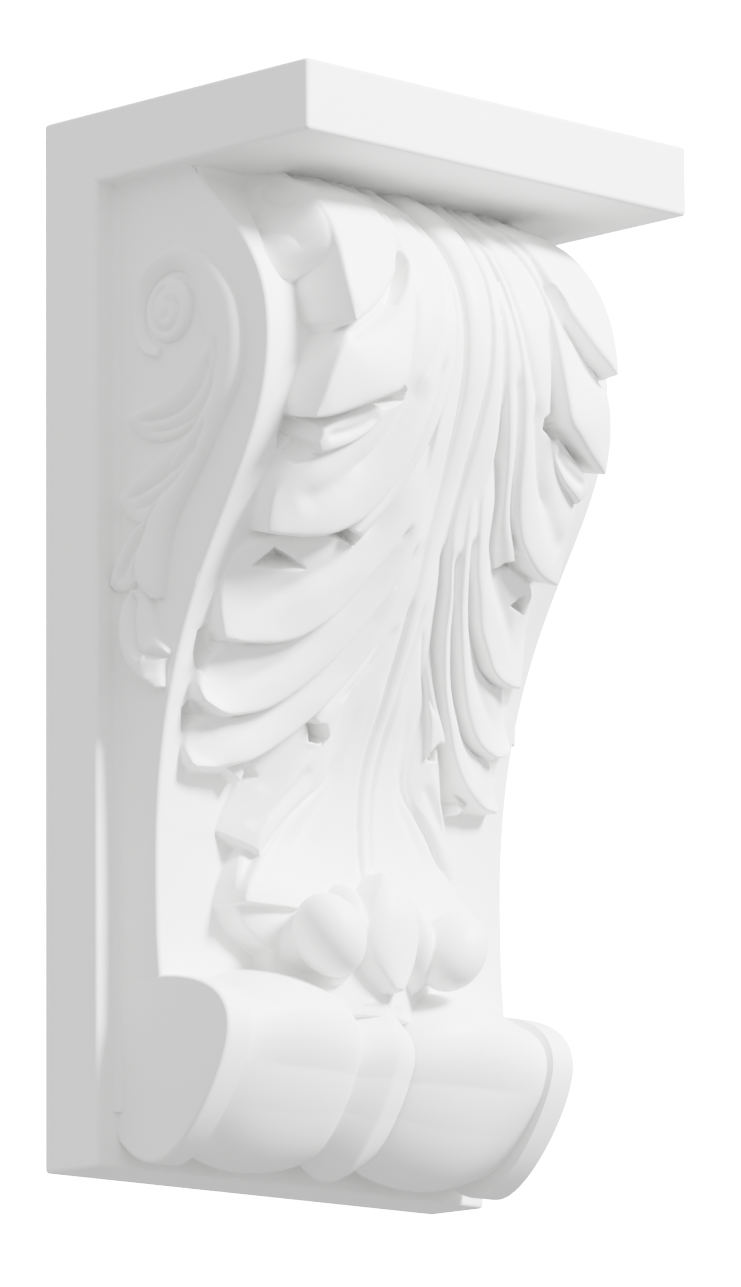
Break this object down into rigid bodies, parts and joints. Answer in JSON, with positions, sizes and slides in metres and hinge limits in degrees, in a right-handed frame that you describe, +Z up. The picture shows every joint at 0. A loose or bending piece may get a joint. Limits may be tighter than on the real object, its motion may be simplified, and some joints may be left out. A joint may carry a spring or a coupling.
{
  "type": "acanthus corbel",
  "caption": "Wall corbel with back plate and top slab, S-scroll body, high-relief acanthus leaf on the front, scrolls on the cheeks and a bolster roll at the foot.",
  "frame": {"origin": "centre of the flat back face that goes against the wall", "axes": "+Z up, +Y into the wall, so the leaf faces -Y; +X is to the right seen from the front"},
  "size_m": [0.153, 0.107, 0.3],
  "materials": {
    "white_moulding": "factory-primed satin white, smooth moulded surface"
  },
  "bodies": {
    "root": {"corbel": "white_moulding"}
  },
  "joints": []
}
